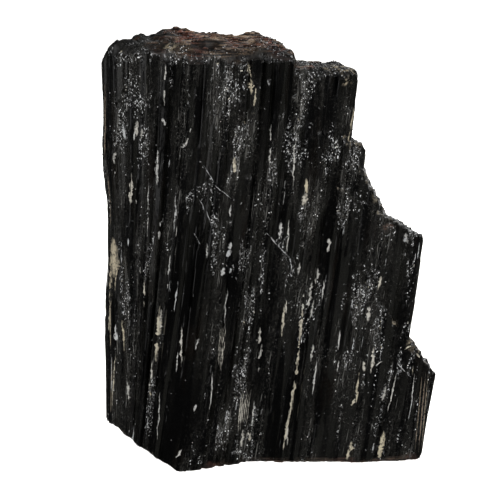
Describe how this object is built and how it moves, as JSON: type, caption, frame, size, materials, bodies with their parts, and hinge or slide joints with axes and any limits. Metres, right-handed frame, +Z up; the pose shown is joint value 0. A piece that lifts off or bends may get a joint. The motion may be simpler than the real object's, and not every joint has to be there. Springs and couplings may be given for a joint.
{
  "type": "black tourmaline crystal",
  "caption": "Broken block of ribbed crystal columns grown together, stepped down on one side, standing on a flat break.",
  "frame": {"origin": "centre of the bounding box, on the flat break that the piece stands on", "axes": "+Z up along the ribs at the top, -Y out of the broad front, +X towards the stepped-down side"},
  "size_m": [0.0898, 0.0424, 0.1147],
  "materials": {
    "schorl": "black glassy ribs between rough, glittering breaks"
  },
  "bodies": {
    "root": {"tourmaline_crystal": "schorl"}
  },
  "joints": []
}
